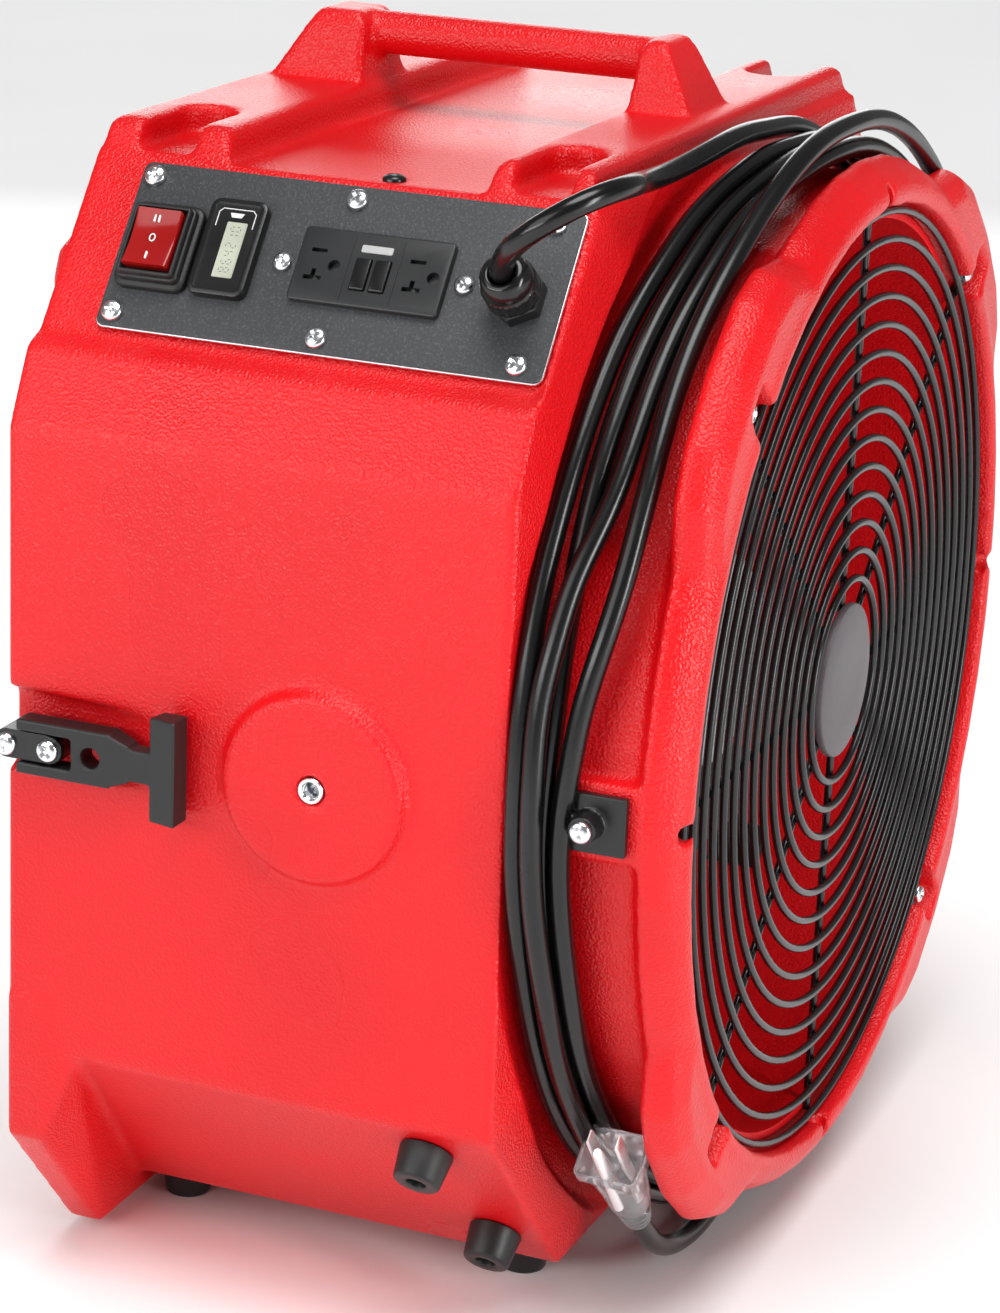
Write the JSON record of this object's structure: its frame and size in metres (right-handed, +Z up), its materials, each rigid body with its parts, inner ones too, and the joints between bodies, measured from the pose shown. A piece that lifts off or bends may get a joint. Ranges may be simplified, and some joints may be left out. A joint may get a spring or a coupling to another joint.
{
  "type": "axial air mover",
  "caption": "Red moulded axial air mover with round wire guard, ducted fan, side control panel with outlet, carry handle, side latches and wound cord.",
  "frame": {"origin": "centre of the bounding box in X and Y, on the floor plane under the bottom feet", "axes": "+Z up, the fan axis along Y with the air outlet facing -Y, the control panel on the -X side"},
  "size_m": [0.526, 0.316, 0.54],
  "materials": {
    "red_shell": "red moulded polyethylene with a fine leather grain",
    "duct_red": "red moulded duct wall",
    "guard_wire": "black powder coat on wire",
    "panel_plate": "black textured powder coat",
    "zinc_hardware": "zinc plated",
    "shaft_steel": "ground steel",
    "mount_paint": "black enamel",
    "motor_paint": "black enamel with a bare label band",
    "capacitor_can": "drawn aluminium can",
    "switch_red": "clear red moulding",
    "meter_glass": "clear window over a grey-green display",
    "plug_clear": "clear moulded plug with brass blades",
    "cord_jacket": "black cord jacket",
    "black_rubber": "black rubber",
    "black_plastic": "black moulded plastic"
  },
  "bodies": {
    "base": {"housing": "red_shell", "carry_handle": "red_shell", "duct_liner": "duct_red", "outlet_guard": "guard_wire", "inlet_guard": "guard_wire", "guard_screw_1": "zinc_hardware", "guard_screw_2": "zinc_hardware", "guard_screw_3": "zinc_hardware", "guard_screw_4": "zinc_hardware", "motor": "motor_paint", "motor_mount": "mount_paint", "control_panel": "panel_plate", "panel_screw_1": "zinc_hardware", "panel_screw_2": "zinc_hardware", "panel_screw_3": "zinc_hardware", "panel_screw_4": "zinc_hardware", "panel_screw_5": "zinc_hardware", "panel_screw_6": "zinc_hardware", "outlet_receptacle": "black_plastic", "outlet_screw_1": "zinc_hardware", "outlet_screw_2": "zinc_hardware", "switch_boot": "black_rubber", "hour_meter": "black_plastic", "meter_window": "meter_glass", "gland_body": "black_plastic", "gland_nut": "black_plastic", "run_capacitor": "capacitor_can", "deck_screw": "guard_wire", "threaded_insert_left": "zinc_hardware", "latch_bracket_left": "black_plastic", "latch_screw_left_1": "zinc_hardware", "latch_screw_left_2": "zinc_hardware", "keeper_left": "black_plastic", "keeper_screw_left": "zinc_hardware", "threaded_insert_right": "zinc_hardware", "latch_bracket_right": "black_plastic", "latch_screw_right_1": "zinc_hardware", "latch_screw_right_2": "zinc_hardware", "keeper_right": "black_plastic", "keeper_screw_right": "zinc_hardware", "cord_lead": "cord_jacket", "cord_winding": "cord_jacket", "cord_tail": "cord_jacket", "plug": "plug_clear", "foot_left_outlet": "black_rubber", "foot_left_inlet": "black_rubber", "tilt_foot_left_upper": "black_rubber", "tilt_foot_left_lower": "black_rubber", "foot_right_outlet": "black_rubber", "foot_right_inlet": "black_rubber", "tilt_foot_right_upper": "black_rubber", "tilt_foot_right_lower": "black_rubber"},
    "rotor": {"fan": "black_plastic", "motor_shaft": "shaft_steel"},
    "rocker": {"rocker": "switch_red"},
    "test_button": {"test_button": "black_plastic"},
    "reset_button": {"reset_button": "black_plastic"},
    "strap_left": {"latch_strap_left": "black_rubber"},
    "strap_right": {"latch_strap_right": "black_rubber"}
  },
  "joints": [
    {"name": "fan_spin", "type": "hinge", "parent": "base", "child": "rotor", "pos_m": [0, 0.042, 0.256], "axis": [0, 1, 0], "continuous": true},
    {"name": "rocker_tilt", "type": "hinge", "parent": "base", "child": "rocker", "pos_m": [-0.20341, 0.0975, 0.46504], "axis": [0, 1, 0], "range_deg": [-7, 7]},
    {"name": "test_push", "type": "slide", "parent": "base", "child": "test_button", "axis": [0.8008, 0, -0.599], "range_m": [0, 0.0015], "stiffness_N_per_m": 800, "springref_m": -0.0005},
    {"name": "reset_push", "type": "slide", "parent": "base", "child": "reset_button", "axis": [0.8008, 0, -0.599], "range_m": [0, 0.0015], "stiffness_N_per_m": 800, "springref_m": -0.0005},
    {"name": "strap_left_swing", "type": "hinge", "parent": "base", "child": "strap_left", "pos_m": [-0.253, 0.127, 0.256], "axis": [0, 0, -1], "range_deg": [0, 170]},
    {"name": "strap_right_swing", "type": "hinge", "parent": "base", "child": "strap_right", "pos_m": [0.253, 0.127, 0.256], "axis": [0, 0, 1], "range_deg": [0, 170]}
  ]
}
